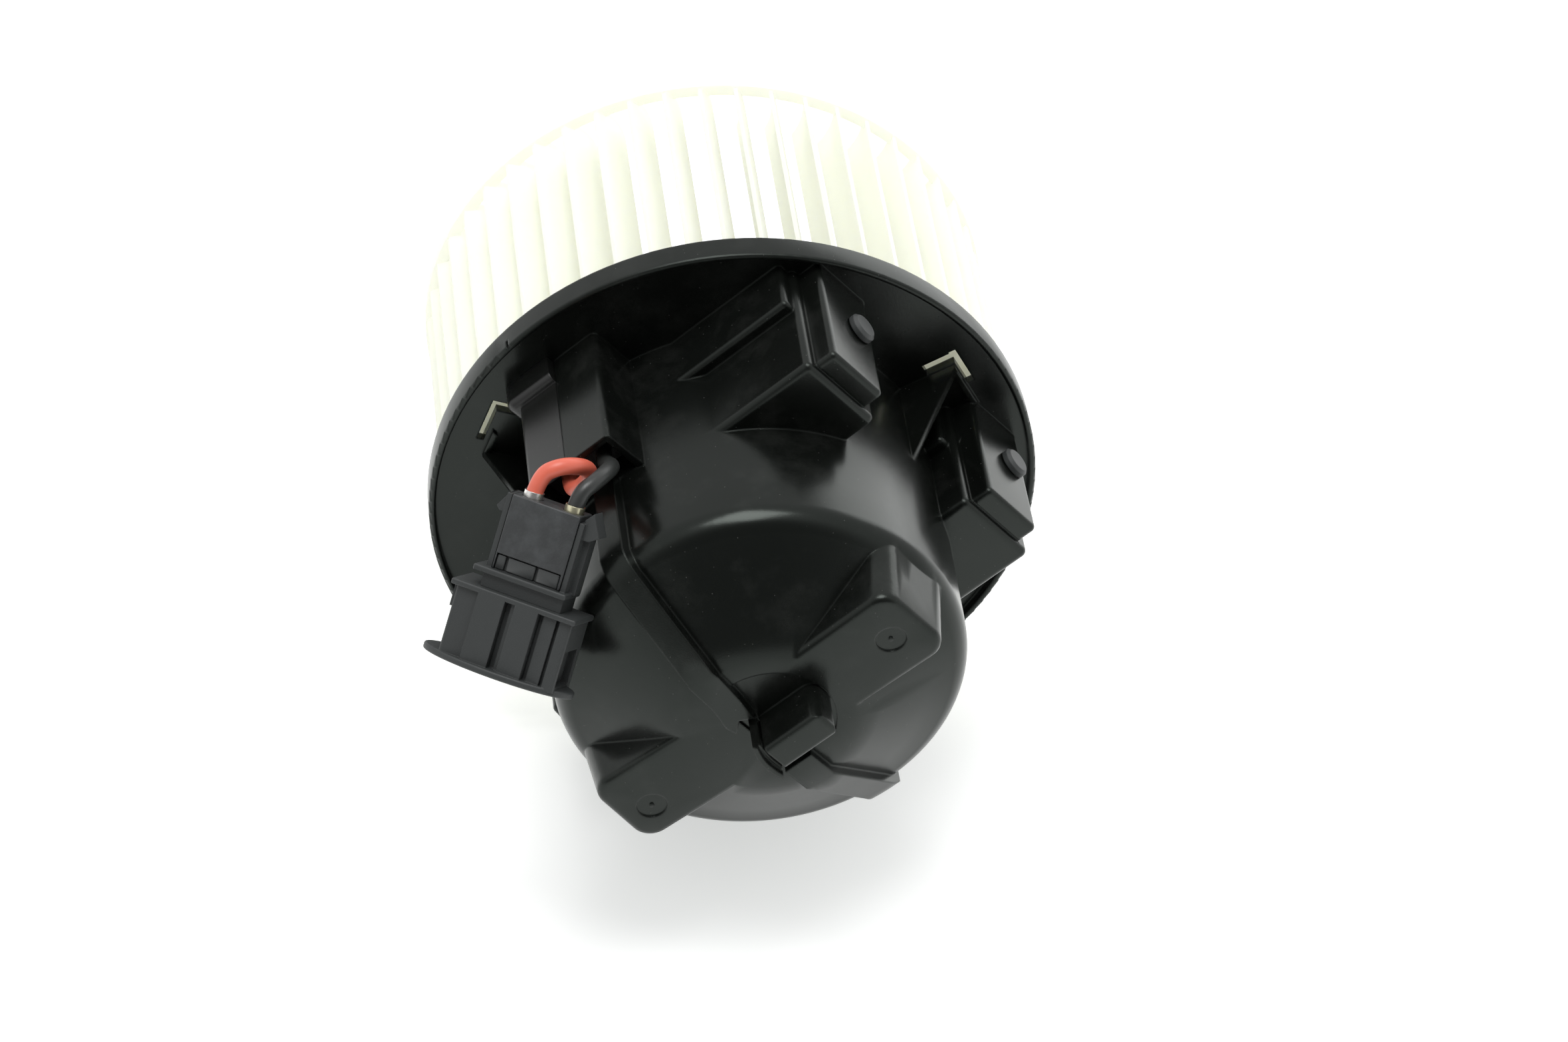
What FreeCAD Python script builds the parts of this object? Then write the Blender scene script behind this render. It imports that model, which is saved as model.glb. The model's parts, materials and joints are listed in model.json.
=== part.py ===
"""Heater blower: a motor in a moulded housing, a squirrel-cage wheel and a two-wire pigtail with its plug.

Millimetres. The shaft lies along Y with the wheel at +Y and the motor's closed end at -Y, and +Z is up.
The origin is on the shaft's axis, in the plane of the flange rim's wheel side.
"""
import FreeCAD, Part
import math
import os

V = FreeCAD.Vector
ORIGIN = V(0, 0, 0)
AXIS = V(0, 1, 0)
os.makedirs("parts", exist_ok=True)

# ---- driving dimensions -------------------------------------------------------------------------
# flange
RIM_R = 78.6
RIM_Y = -7.0
RIM_WALL = 1.8
PLATE_FRONT = -2.0          # wheel side of the flange plate
PLATE_BACK = -4.5           # motor side of the flange plate
# motor cup
CUP_MOUTH_R = 52.4
CUP_END_R = 51.8
CUP_WALL = 2.5
DOME_EDGE_Y = -70.5         # where the cup's side turns into the dome
DOME_FOOT_R, DOME_FOOT_Y = 47.0, -77.4
DOME_BULGE = 1.3            # how far the rounded edge stands out of its chord
DOME_TOP_Y = -93.0
DOME_TOP_R = 21.5
RECESS_R = 16.6
RECESS_Y = -92.2
# the bar across the dome and the features aligned with it lie in axes turned about the shaft
BAR_TURN = -40.0
BAR_TOP = [(47.6, -12.3), (47.6, 12.9), (-17.0, 12.4), (-46.3, 15.3), (-47.6, -8.9), (-17.0, -10.7)]
BAR_FOOT = [(50.2, -12.9), (50.2, 13.5), (-17.0, 13.0), (-48.9, 15.9), (-50.2, -9.5), (-17.0, -11.3)]
BAR_FOOT_Y = -72.0
GATE_U = 38.5
DUCT_RISE = 3.6
# mounting lugs: how far the pin lies beside the lug's own axis, and the turn of that axis
PIN_Y = -20.3
LUGS = [(28.7, -40.0), (-33.0, -40.0), (11.2, 147.9)]
LUG_WALL = 1.8
LUG_END = 63.4
# wheel
BLADES = 50
BLADE_IN, BLADE_OUT = 60.5, 74.5
BLADE_LEAN = 2.7            # how far the outer edge lags the inner one
BLADE_BOW = 1.58
BLADE_HALF = 0.55
WHEEL_R = 75.0
WHEEL_NEAR, WHEEL_FAR = 2.0, 73.8
# motor
SHAFT_R = 4.0
CAN_R, CAN_WALL = 37.0, 2.0
CAN_FRONT, CAN_REAR = -12.0, -72.0
CORE_R = 23.5
CORE_FRONT, CORE_REAR = -38.0, -62.0
SLOTS = 12
COMMUTATOR_R = 11.0
# wires
WIRE_R = 2.1


# ---- helpers ------------------------------------------------------------------------------------
def save(name, shape):
    """Write one node and print its volume and validity."""
    shape = shape.removeSplitter()
    shape.exportStep("parts/" + name + ".step")
    print("%-20s %2d solids %10.1f mm3 valid %s" % (name, len(shape.Solids), shape.Volume, shape.isValid()))
    return shape


def turned(shape, degrees):
    """A copy turned about the shaft's axis; a positive angle moves +Z towards +X."""
    copy = shape.copy()
    copy.rotate(ORIGIN, AXIS, degrees)
    return copy


def revolved(outline):
    """Solid of revolution about the shaft's axis from (radius, y) corners."""
    points = [V(r, y, 0) for r, y in outline]
    return Part.Face(Part.makePolygon(points + points[:1])).revolve(ORIGIN, AXIS, 360)


def disc(radius, y0, y1):
    return Part.makeCylinder(radius, y1 - y0, V(0, y0, 0), AXIS)


def ring(inner, outer, y0, y1):
    return disc(outer, y0, y1).cut(disc(inner, y0, y1))


def block(x, y, z, rounding=0.0, keep="", only=""):
    """Box between pairs of limits. Edges lying in a face named in keep, such as "+y", stay sharp,
    and with only="y" just the edges along that axis are rounded."""
    box = Part.makeBox(x[1] - x[0], y[1] - y[0], z[1] - z[0], V(x[0], y[0], z[0]))
    if not rounding:
        return box
    limits = {"-x": ("x", x[0]), "+x": ("x", x[1]), "-y": ("y", y[0]), "+y": ("y", y[1]),
              "-z": ("z", z[0]), "+z": ("z", z[1])}
    sharp = [limits[side] for side in keep.split()]
    chosen = []
    for edge in box.Edges:
        middle = edge.CenterOfMass
        if any(abs(getattr(middle, letter) - value) < 1e-6 for letter, value in sharp):
            continue
        if only and abs(getattr(edge.tangentAt(edge.FirstParameter), only)) < 0.9:
            continue
        chosen.append(edge)
    return box.makeFillet(rounding, chosen)


def bar_block(u, y, v, rounding=0.0, keep="", only=""):
    """A box in the axes of the dome's bar: u along the bar, v across it."""
    return turned(block(u, y, v, rounding, keep, only), BAR_TURN)


def prism(outline, y0, y1):
    """Upright solid over (x, z) corners, from y0 to y1."""
    points = [V(x, y0, z) for x, z in outline]
    return Part.Face(Part.makePolygon(points + points[:1])).extrude(V(0, y1 - y0, 0))


def joined(shapes):
    return shapes[0].multiFuse(shapes[1:])


def rod(start, end, radius):
    start, end = V(*start), V(*end)
    return Part.makeCylinder(radius, (end - start).Length, start, end - start)


def tube_path(points, label=""):
    """Straight runs joined by tangent arcs. Each arc is as large as its two runs allow."""
    points = [V(*p) for p in points]
    edges, at, radii = [], points[0], []
    for before, corner, after in zip(points, points[1:], points[2:]):
        back, on = before - corner, after - corner
        run = min(back.Length, on.Length)
        half = (math.pi - back.getAngle(on)) / 2
        reach = 0.45 * run
        radii.append(reach / math.tan(half))
        back.normalize()
        on.normalize()
        first, last = corner + back * reach, corner + on * reach
        centre_way = (back + on).normalize()
        middle = corner + centre_way * (radii[-1] / math.cos(half) - radii[-1])
        edges += [Part.LineSegment(at, first).toShape(), Part.Arc(first, middle, last).toShape()]
        at = last
    edges.append(Part.LineSegment(at, points[-1]).toShape())
    wire = Part.Wire(edges)
    if label:
        print(label, "radii", [round(r, 1) for r in radii], "length %.1f" % wire.Length)
    return wire


def tube(points, radius, label=""):
    """A round cord along a route."""
    path = tube_path(points, label)
    start = V(*points[0])
    section = Part.Wire(Part.makeCircle(radius, start, V(*points[1]) - start))
    solid = path.makePipeShell([section], True, True)
    if label:
        print(label, "volume", round(solid.Volume / (math.pi * radius ** 2 * path.Length), 4), "of section x length")
    return solid


# ---- motor housing ------------------------------------------------------------------------------
def shell_outline(grow):
    """Cup and dome outline, moved outwards by grow, as a face to be revolved."""
    slope = math.atan2(DOME_FOOT_Y - DOME_TOP_Y, DOME_FOOT_R - DOME_TOP_R)
    shift = grow * math.tan(slope / 2)
    mouth, edge = V(CUP_MOUTH_R + grow, PLATE_FRONT, 0), V(CUP_END_R + grow, DOME_EDGE_Y - shift, 0)
    foot = V(DOME_FOOT_R + grow * math.sin(slope), DOME_FOOT_Y - grow * math.cos(slope), 0)
    crown = V(DOME_TOP_R + shift, DOME_TOP_Y - grow, 0)
    out = V(edge.y - foot.y, foot.x - edge.x, 0).normalize()
    bend = (edge + foot) * 0.5 + out * DOME_BULGE
    lines = [Part.LineSegment(V(0, PLATE_FRONT, 0), mouth).toShape(), Part.LineSegment(mouth, edge).toShape(),
             Part.Arc(edge, bend, foot).toShape(), Part.LineSegment(foot, crown).toShape(),
             Part.LineSegment(crown, V(0, DOME_TOP_Y - grow, 0)).toShape(),
             Part.LineSegment(V(0, DOME_TOP_Y - grow, 0), V(0, PLATE_FRONT, 0)).toShape()]
    return Part.Face(Part.Wire(lines))


def shell(grow):
    return shell_outline(grow).revolve(ORIGIN, AXIS, 360)


def rounded_corners(outline, radius):
    """Closed wire over (x, z) corners at y = 0 with its corners rounded."""
    points = [V(x, 0, z) for x, z in outline]
    edges, ends = [], []
    for before, corner, after in zip(points[-1:] + points, points, points[1:] + points[:1]):
        back, on = (before - corner).normalize(), (after - corner).normalize()
        half = back.getAngle(on) / 2
        reach = radius / math.tan(half)
        middle = corner + (back + on).normalize() * (radius / math.sin(half) - radius)
        ends.append((corner + back * reach, middle, corner + on * reach))
    for (first, middle, last), (following, _, _) in zip(ends, ends[1:] + ends[:1]):
        edges += [Part.Arc(first, middle, last).toShape(), Part.LineSegment(last, following).toShape()]
    return Part.Wire(edges)


def inset_outline(outline, amount):
    """The (x, z) corners of an outline moved inwards by amount."""
    wire = Part.makePolygon([V(x, 0, z) for x, z in outline + outline[:1]])
    if amount:
        wire = wire.makeOffset2D(-amount, 2)
    return [(p.x, p.z) for p in [v.Point for v in wire.OrderedVertexes]]


def bar_solid(inset):
    """The bar across the dome: a little wider at its foot, its top edge rounded in three steps."""
    sections = [(BAR_FOOT, inset, BAR_FOOT_Y)]
    for angle in (0, 30, 60, 90) if not inset else (90,):
        a = math.radians(angle)
        step = 0 if inset else BAR_TOP_ROUNDING * (1 - math.cos(a))
        rise = 0 if inset else BAR_TOP_ROUNDING * (1 - math.sin(a))
        sections.append((BAR_TOP, inset + step, DOME_TOP_Y + inset + rise))
    wires = []
    for outline, amount, y in sections:
        wire = rounded_corners(inset_outline(outline, amount), BAR_ROUNDING - amount)
        wire.translate(V(0, y, 0))
        wires.append(wire)
    return turned(Part.makeLoft(wires, True, True), BAR_TURN)


BAR_TOP_ROUNDING = 1.7
BAR_ROUNDING = 5.5
LEFT_DUCT = [(-5.3, 26.0), (-6.0, 15.0), (-7.6, 8.3), (-6.9, 4.9), (-3.6, 7.9), (-0.5, 5.9), (0.9, 13.0),
             (2.0, 22.0), (2.0, 57.0), (-5.3, 57.0)]
LOWER_DUCT = [(-6.7, -57.0), (1.5, -57.0), (1.5, -13.5), (-6.7, -13.5)]
LOWER_RISE = 2.5
DUCT_LIMIT_V = 55.0
DUCT_TOP_Y = -95.2


def duct(outline, rise, inset):
    """A raised channel over the cup and dome, its footprint inset from its sides."""
    wire = Part.makePolygon([V(u, -100, v) for u, v in outline + outline[:1]])
    if inset:
        wire = wire.makeOffset2D(-inset, 2)
    column = turned(Part.Face(wire).extrude(V(0, 100 + PLATE_BACK, 0)), BAR_TURN)
    limit = bar_block((-20, 20), (DUCT_TOP_Y + inset, 0), (-52.5 + inset, DUCT_LIMIT_V - inset))
    return shell(rise - inset).common(column).common(limit)


def lug_blocks(pin_v, turn, wall):
    """Outside (wall 0) or inside of one stepped lug. The lug's pin is at pin_v beside the lug's axis."""
    mouth = PLATE_FRONT + (1 if wall else 0)
    root = 24.0 if wall else 17.0
    main = block((root, 57.4 - wall), (-42.4 + wall, mouth), (pin_v - 9.8 + wall, pin_v + 16.0 - wall),
                 0 if wall else 1.8, "+y -x")
    step = block((root, LUG_END - wall), (-41.0 + wall, mouth), (pin_v - 5.9 + wall, pin_v + 13.3 - wall),
                 0 if wall else 1.5, "+y -x")
    foot = block((root, 56.0 - wall), (-19.8 + wall, mouth), (pin_v, pin_v + 19.5 - wall),
                 0 if wall else 1.3, "+y -x -z")
    return [turned(s, turn) for s in (main, step, foot)]


def lug_groove(pin_v, turn):
    """Thin line between the lug's main block and its outer step."""
    return turned(block((57.3, 57.9), (-41.6, -40.6), (pin_v - 5.9, pin_v + 13.3)), turn)


def exit_box(inset):
    """The box that the wires leave through, open at its motor end."""
    if inset:
        inside = bar_block((-17 + inset, 9.3 - inset), (-46, PLATE_FRONT + 1), (40, 65 - inset))
        return inside.cut(disc(CUP_MOUTH_R, -50, PLATE_BACK - 4.5))
    return bar_block((-17, 9.3), (-45, PLATE_FRONT), (40, 65), 1.5, "+y -z -y")


SEAM_U = -4.4               # where the exit box's clip-on cover meets the housing's half
SEAM_GAP = 0.12


def snap_box(turn, cheek_xs, top_y, front_z, slot_legs):
    """Pocket with sloping cheeks beside an L-shaped slot; returns the walls and the slot."""
    cheeks = []
    for x in cheek_xs:
        side = Part.makePolygon([V(x - 0.75, y, z) for y, z in
                                 [(-3, 46), (-3, front_z), (top_y, front_z), (-32, 51.5), (-32, 46), (-3, 46)]])
        cheeks.append(Part.Face(side).extrude(V(1.5, 0, 0)))
    front = block(sorted(cheek_xs), (top_y, -3), (front_z - 1.5, front_z))
    slot = [block(x, (-8, 0), z) for x, z in slot_legs]
    return [turned(s, turn) for s in cheeks + [front]], [turned(s, turn) for s in slot]


RIGHT_SNAP = snap_box(63.2, (-6.8, 6.6), -6.0, 67.4, [((-11.2, -7.8), (60, 69.6)), ((-11.6, 0), (67.7, 69.6))])
LEFT_SNAP = snap_box(-68.3, (-5.85, 5.85), -5.5, 66.4, [((8, 10.8), (60, 69.5)), ((-2, 10.8), (67.6, 69.5))])


def cup_void():
    """Everything inside the cup and the dome's bar, ducts and lugs."""
    cup = shell(-CUP_WALL)
    mouth = disc(CUP_MOUTH_R - CUP_WALL, PLATE_FRONT, 1)
    bar = bar_solid(CUP_WALL)
    floor = disc(RECESS_R + CUP_WALL, DOME_TOP_Y - 1, RECESS_Y + CUP_WALL)
    void = joined([cup, mouth, bar]).cut(floor)
    channels = joined([duct(LEFT_DUCT, DUCT_RISE, 1.6), duct(LOWER_DUCT, LOWER_RISE, 1.6)]).cut(disc(20, -100, -80))
    boxes = [s for pin_v, turn in LUGS for s in lug_blocks(pin_v, turn, LUG_WALL)]
    return joined([void, channels] + boxes)


HOOD_TOP_Y = -104.4


def hood():
    """Vent hood at the middle of the dome, open at one end; returns its outside and its inside."""
    cap = bar_block((-0.8, 16.3), (HOOD_TOP_Y, RECESS_Y + 0.5), (-5.5, 3.2), 1.5, "-x +y")
    round_end = bar_block((-5, 16.3), (-110, -80), (-5.5, 3.2), 3.2, "-x", only="y")
    inside = bar_block((-2, 15.0), (HOOD_TOP_Y + 1.3, -80), (-4.2, 1.9))
    return cap.common(round_end), inside


def shield_wall():
    """Thin wall that curves round the hood's open end, with a lower ledge inside it."""
    def curved(outer, inner, top_y):
        arcs = []
        for grow in (outer, inner):
            arcs.append(Part.Arc(V(-2.6 - 0.4 * grow, 0, 5.4 + 0.9 * grow), V(-5.1 - grow, 0, -2.5),
                                 V(-4.2 - 0.6 * grow, 0, -8.4 - 0.8 * grow)).toShape())
        ends = [Part.LineSegment(arcs[0].Vertexes[i].Point, arcs[1].Vertexes[i].Point).toShape() for i in (0, -1)]
        wall = Part.Face(Part.Wire(Part.__sortEdges__(arcs + ends))).extrude(V(0, top_y - RECESS_Y - 0.5, 0))
        wall.translate(V(0, RECESS_Y + 0.5, 0))
        return turned(wall, BAR_TURN)
    return curved(0, -1.4, -103.5).fuse(curved(-1.3, -2.5, -101.8))


def gate_mark(u):
    """Shallow round dimple with a small nub, where the moulding was filled."""
    dish = ring(0.55, 3.85, DOME_TOP_Y - 1, DOME_TOP_Y + 0.45)
    dish.translate(V(u, 0, 0))
    return turned(dish, BAR_TURN)


def parting_line(u, v):
    """Hairline along the middle of a duct."""
    top = shell(DUCT_RISE + 3).cut(shell(1.9))
    return top.common(bar_block((u - 0.12, u + 0.12), (-110, -60), v))


SCREW_CLOCKS = (50.0, 160.0, -90.0)
SCREW_R = 47.4


def build_housing():
    rim = ring(RIM_R - RIM_WALL, RIM_R, RIM_Y, 0)
    rim = rim.makeFillet(0.8, [e for e in rim.Edges if abs(e.CenterOfMass.y - RIM_Y) < 1e-6])
    plate = disc(RIM_R - 1, PLATE_BACK, PLATE_FRONT)
    ducts = [duct(LEFT_DUCT, DUCT_RISE, 0), duct(LOWER_DUCT, LOWER_RISE, 0)]
    lugs = [s for pin_v, turn in LUGS for s in lug_blocks(pin_v, turn, 0)]
    cap, cap_void = hood()
    outside = joined([rim, plate, shell(0), bar_solid(0), exit_box(0)] + lugs + RIGHT_SNAP[0] + LEFT_SNAP[0])
    recess = disc(RECESS_R, DOME_TOP_Y - 5, RECESS_Y).common(bar_block((-5, 30), (-110, -80), (-13, 30)))
    outside = joined([outside.cut(recess)] + ducts + [cap, shield_wall()])
    housing = outside.cut(cup_void()).cut(joined([exit_box(1.8), cap_void]))
    cover_room = bar_block((-30, SEAM_U + SEAM_GAP / 2), (-60, PLATE_BACK), (44, 70)).cut(disc(CUP_MOUTH_R, -60, 0))
    slots = RIGHT_SNAP[1] + LEFT_SNAP[1]
    holes = [turned(rod((55, PIN_Y, v), (66, PIN_Y, v), 3.3), turn) for v, turn in LUGS]
    marks = [gate_mark(GATE_U), gate_mark(-GATE_U)] + [lug_groove(v, turn) for v, turn in LUGS]
    notch = turned(block((-0.4, 0.4), (RIM_Y - 1, RIM_Y + 2.5), (RIM_R - 0.7, RIM_R + 1)), -46)
    posts = [turned(rod((0, -22, SCREW_R), (0, PLATE_FRONT, SCREW_R), 3.4), a) for a in SCREW_CLOCKS]
    pilots = [turned(rod((0, -14, SCREW_R), (0, 0, SCREW_R), 1.5), a) for a in SCREW_CLOCKS]
    housing = housing.cut(joined([cover_room] + slots + holes + marks + [notch]))
    return housing.fuse(joined(posts).cut(disc(43.5, -30, 0))).cut(joined(pilots))


def build_exit_cover():
    """Clip-on half of the wire exit box, with the bulge beside the flange."""
    end = SEAM_U - SEAM_GAP / 2
    walls = exit_box(0).common(bar_block((-20, end), (-46, PLATE_BACK), (44, 80)))
    bulge = bar_block((-19.5, end), (-12.5, PLATE_BACK), (50, 67.3), 2.2, "+y -z +x")
    inside = bar_block((-17 + 1.8, end + 1), (-46, 0), (44, 65 - 1.8))
    return joined([walls, bulge]).cut(inside).cut(disc(CUP_MOUTH_R + 0.1, -60, 0))


# ---- what holds the motor -----------------------------------------------------------------------
PIN_HEAD = (63.7, 65.8)


def build_pins():
    """Locating pins: their chamfered heads show in the lugs' end walls."""
    pins = []
    for v, turn in LUGS:
        head = rod((PIN_HEAD[0], PIN_Y, v), (PIN_HEAD[1], PIN_Y, v), 4.0)
        head = head.makeChamfer(0.8, [e for e in head.Edges if abs(e.CenterOfMass.x - PIN_HEAD[1]) < 1e-6])
        pins.append(turned(rod((48, PIN_Y, v), (PIN_HEAD[0], PIN_Y, v), 2.5).fuse(head), turn))
    return Part.makeCompound(pins)


def build_dampers():
    """Rubber bushes between the carrier's arms and the lugs."""
    bushes = []
    for v, turn in LUGS:
        bush = rod((50.2, PIN_Y, v), (55.4, PIN_Y, v), 7.0).cut(rod((50, PIN_Y, v), (56, PIN_Y, v), 2.5))
        bushes.append(turned(bush, turn))
    return Part.makeCompound(bushes)


def build_carrier():
    """Steel band round the motor with three arms for the dampers."""
    arms = []
    for v, turn in LUGS:
        arm = block((22, 50), (-22, -18.6), (v - 4, v + 4)).fuse(block((48, 50), (-27, -13.6), (v - 6.5, v + 6.5)))
        arms.append(turned(arm.cut(rod((40, PIN_Y, v), (60, PIN_Y, v), 2.5)), turn))
    return joined([disc(CAN_R + 1.6, -30, -16)] + arms).cut(disc(CAN_R, -40, 0))


# ---- motor, fixed parts -------------------------------------------------------------------------
REAR_BOSS_R, BEARING_R = 10.0, 8.0
FRONT_BEARING, REAR_BEARING = (-11.0, -5.2), (-78.8, -73.0)
RUNNING_GAP = 0.04


def build_can():
    return revolved([(CAN_R - CAN_WALL, CAN_FRONT), (CAN_R, CAN_FRONT), (CAN_R, CAN_REAR + 1.2),
                     (CAN_R - 1.2, CAN_REAR), (REAR_BOSS_R, CAN_REAR), (REAR_BOSS_R, -80.5), (0, -80.5),
                     (0, -79.6), (BEARING_R, -79.6), (BEARING_R, CAN_REAR + CAN_WALL),
                     (CAN_R - CAN_WALL, CAN_REAR + CAN_WALL)])


LEAD_US = (-9.0, 2.0)       # u of the red and the black lead
LEAD_V_IN, LEAD_V_OUT = 27.0, 57.6
LEAD_Y = -5.9


def build_end_plate():
    plate = revolved([(CAN_R, CAN_FRONT), (CAN_R, -9.5), (11, -9.5), (11, -4.6), (6, -4.6), (6, -5.2),
                      (BEARING_R, -5.2), (BEARING_R, CAN_FRONT)])
    holes = [bar_block((u - 3, u + 3), (-20, 0), (LEAD_V_IN - 3, LEAD_V_IN + 3)) for u in LEAD_US]
    screws = [turned(rod((0, -20, 33), (0, 0, 33), 1.6), a) for a in PLATE_SCREW_CLOCKS]
    return plate.cut(joined(holes + screws))


PLATE_SCREW_CLOCKS = (60.0, 240.0)


def build_bearings(span):
    """Sintered sleeve with its edges rounded off."""
    sleeve = disc(BEARING_R, *span)
    sleeve = sleeve.makeChamfer(0.8, [e for e in sleeve.Edges if abs(abs(e.CenterOfMass.y) - 1e9) > 1 and e.Closed])
    return sleeve.cut(disc(SHAFT_R + RUNNING_GAP, -90, 0))


def build_magnets():
    section = Part.makePolygon([V(24.3, -68, 0), V(34.8, -68, 0), V(34.8, -33, 0), V(24.3, -33, 0), V(24.3, -68, 0)])
    arc = Part.Face(section).revolve(ORIGIN, AXIS, 130)
    return Part.makeCompound([turned(arc, 25), turned(arc, 205)])


CARD = (-16.0, -13.0)
HOLDER_Y = (-28.0, -16.0)
BRUSH_Y = (-26.0, -20.0)
BRUSH_HALF = 2.2
BRUSH_BACK, SPRING_END = 20.0, 29.0


def build_card():
    return ring(14.0, 34.0, *CARD).cut(joined([turned(rod((0, -20, 33), (0, 0, 33), 1.9), a)
                                               for a in PLATE_SCREW_CLOCKS]))


def build_holders():
    slack = 0.1
    tube_box = block((-3.4, 3.4), HOLDER_Y, (12.6, SPRING_END + 1.2))
    inside = block((-BRUSH_HALF - slack, BRUSH_HALF + slack), (BRUSH_Y[0] - slack, BRUSH_Y[1] + slack), (10, SPRING_END))
    holder = tube_box.cut(inside)
    return Part.makeCompound([holder, turned(holder, 180)])


def build_brush():
    """Carbon brush above the commutator, its face curved to it."""
    brush = block((-BRUSH_HALF, BRUSH_HALF), BRUSH_Y, (9, BRUSH_BACK))
    return brush.cut(disc(COMMUTATOR_R + 0.05, -40, 0))


def build_spring():
    """Compression spring between the brush and the end of its holder."""
    wire_r, coil_r, turns = 0.3, 1.6, 5
    height = SPRING_END - BRUSH_BACK - 2 * wire_r - 0.1
    helix = Part.makeHelix(height / turns, height, coil_r)
    section = Part.Wire(Part.makeCircle(wire_r, V(coil_r, 0, 0), V(0, 1, 0)))
    coil = Part.Wire(helix).makePipeShell([section], True, True)
    coil.translate(V(0, sum(BRUSH_Y) / 2, BRUSH_BACK + wire_r + 0.05))
    return coil


def build_chokes():
    """Suppression chokes: ferrite rods with their windings, under the brush card."""
    coils = []
    for x in (-20.5, 20.5):
        core = rod((x, -19.6, -9), (x, -19.6, 9), 2.2)
        turns = [Part.makeTorus(2.6, 0.5, V(x, -19.6, -6.6 + 1.1 * i), V(0, 0, 1)) for i in range(13)]
        coils.append(joined([core] + turns))
    return Part.makeCompound(coils)


def build_capacitor():
    return block((24.4, 30.0), (-23.0, -16.0), (-5, 5), 0.8, "+y")


# ---- rotor --------------------------------------------------------------------------------------
def build_shaft():
    shaft = disc(SHAFT_R, -79.2, 37.0)
    return shaft.makeChamfer(0.5, [e for e in shaft.Edges if e.Closed])


def lamination(y0, y1):
    body = disc(CORE_R, y0, y1).cut(disc(SHAFT_R, y0, y1))
    slot = rod((0, y0, 17), (0, y1, 17), 3.3).fuse(block((-1.1, 1.1), (y0, y1), (17, 25)))
    return body.cut(joined([turned(slot, 360 / SLOTS * i) for i in range(SLOTS)]))


def build_windings():
    """Copper in the slots, with the end turns at both ends."""
    bars = [turned(rod((0, CORE_REAR - 1, 17), (0, CORE_FRONT + 1, 17), 3.1), 360 / SLOTS * i) for i in range(SLOTS)]
    front = revolved([(9, CORE_FRONT + 1), (20.5, CORE_FRONT + 1), (20.5, -35), (17, -33), (12, -33), (9, -35)])
    rear = revolved([(9, CORE_REAR - 1), (20.5, CORE_REAR - 1), (20.5, -65), (17, -67), (12, -67), (9, -65)])
    return joined([front, rear] + bars)


def build_commutator():
    drum = disc(COMMUTATOR_R, -31, -16.4).fuse(disc(12.6, -32.4, -31)).cut(disc(SHAFT_R, -40, 0))
    slits = [turned(block((-0.25, 0.25), (-33, -16), (10.2, 13)), 360 / SLOTS * i) for i in range(SLOTS)]
    return drum.cut(joined(slits))


def blade(half, grow_in=0.0):
    """Curved blade section on the +Z side, extruded along the shaft."""
    start = V(BLADE_LEAN + 0.19 * grow_in, 0, BLADE_IN - grow_in)
    end = V(0, 0, BLADE_OUT)
    chord = (end - start).normalize()
    across = V(chord.z, 0, -chord.x)
    middle = (start + end) * 0.5 + across * BLADE_BOW
    sides = []
    for shift in (half, -half):
        sides.append(Part.Arc(start + across * shift, middle + across * shift, end + across * shift).toShape())
    ends = [Part.LineSegment(sides[0].Vertexes[i].Point, sides[1].Vertexes[i].Point).toShape() for i in (0, -1)]
    face = Part.Face(Part.Wire(Part.__sortEdges__([sides[0], ends[0], sides[1], ends[1]])))
    solid = face.extrude(V(0, WHEEL_FAR - 1.2 - WHEEL_NEAR - 1, 0))
    solid.translate(V(0, WHEEL_NEAR + 1, 0))
    return solid


BLADE_CLOCK = -0.5


def build_wheel():
    """One moulding: hub, dished back plate, blades and the stiffening ring at the far end."""
    back = revolved([(SHAFT_R, 10), (9, 10), (10, 17.2), (14, 18.6), (57, WHEEL_NEAR), (WHEEL_R, WHEEL_NEAR),
                     (WHEEL_R, 4.2), (58, 4.2), (14.5, 21.2), (10, 23.5), (10, 34), (SHAFT_R, 34)])
    far = ring(72.0, WHEEL_R, 69.8, WHEEL_FAR)
    far = far.makeFillet(0.7, [e for e in far.Edges if abs(e.CenterOfMass.y - WHEEL_FAR) < 1e-6])
    one = blade(BLADE_HALF)
    return joined([back, far] + [turned(one, BLADE_CLOCK + 360 / BLADES * i) for i in range(BLADES)])


def build_balance_clips():
    """Spring clips pushed over the inner edges of two blades."""
    clip = blade(BLADE_HALF + 0.5, 0.5).cut(blade(BLADE_HALF)).common(disc(66, 30, 42))
    return Part.makeCompound([turned(clip, BLADE_CLOCK + 360 / BLADES * i) for i in (7, 31)])


# ---- wire exit, leads and pigtail ---------------------------------------------------------------
GROMMET = (-38.0, -29.0)


def bar_point(u, y, v):
    a = math.radians(-BAR_TURN)
    return (u * math.cos(a) - v * math.sin(a), y, u * math.sin(a) + v * math.cos(a))


def build_grommet():
    body = bar_block((-15.0, 7.3), GROMMET, (52.7, 63.0), 1.0, only="y")
    holes = [rod(bar_point(u, -40, LEAD_V_OUT), bar_point(u, -20, LEAD_V_OUT), WIRE_R) for u in LEAD_US]
    return body.cut(joined(holes))


def inner_lead(u):
    """Lead from the grommet over the motor's end plate and down to the brush card."""
    return tube([bar_point(u, GROMMET[0], LEAD_V_OUT), bar_point(u, LEAD_Y, LEAD_V_OUT),
                 bar_point(u + 0.4, LEAD_Y, (LEAD_V_OUT + LEAD_V_IN) / 2),
                 bar_point(u, LEAD_Y, LEAD_V_IN), bar_point(u, CARD[1], LEAD_V_IN)], WIRE_R)


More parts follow.
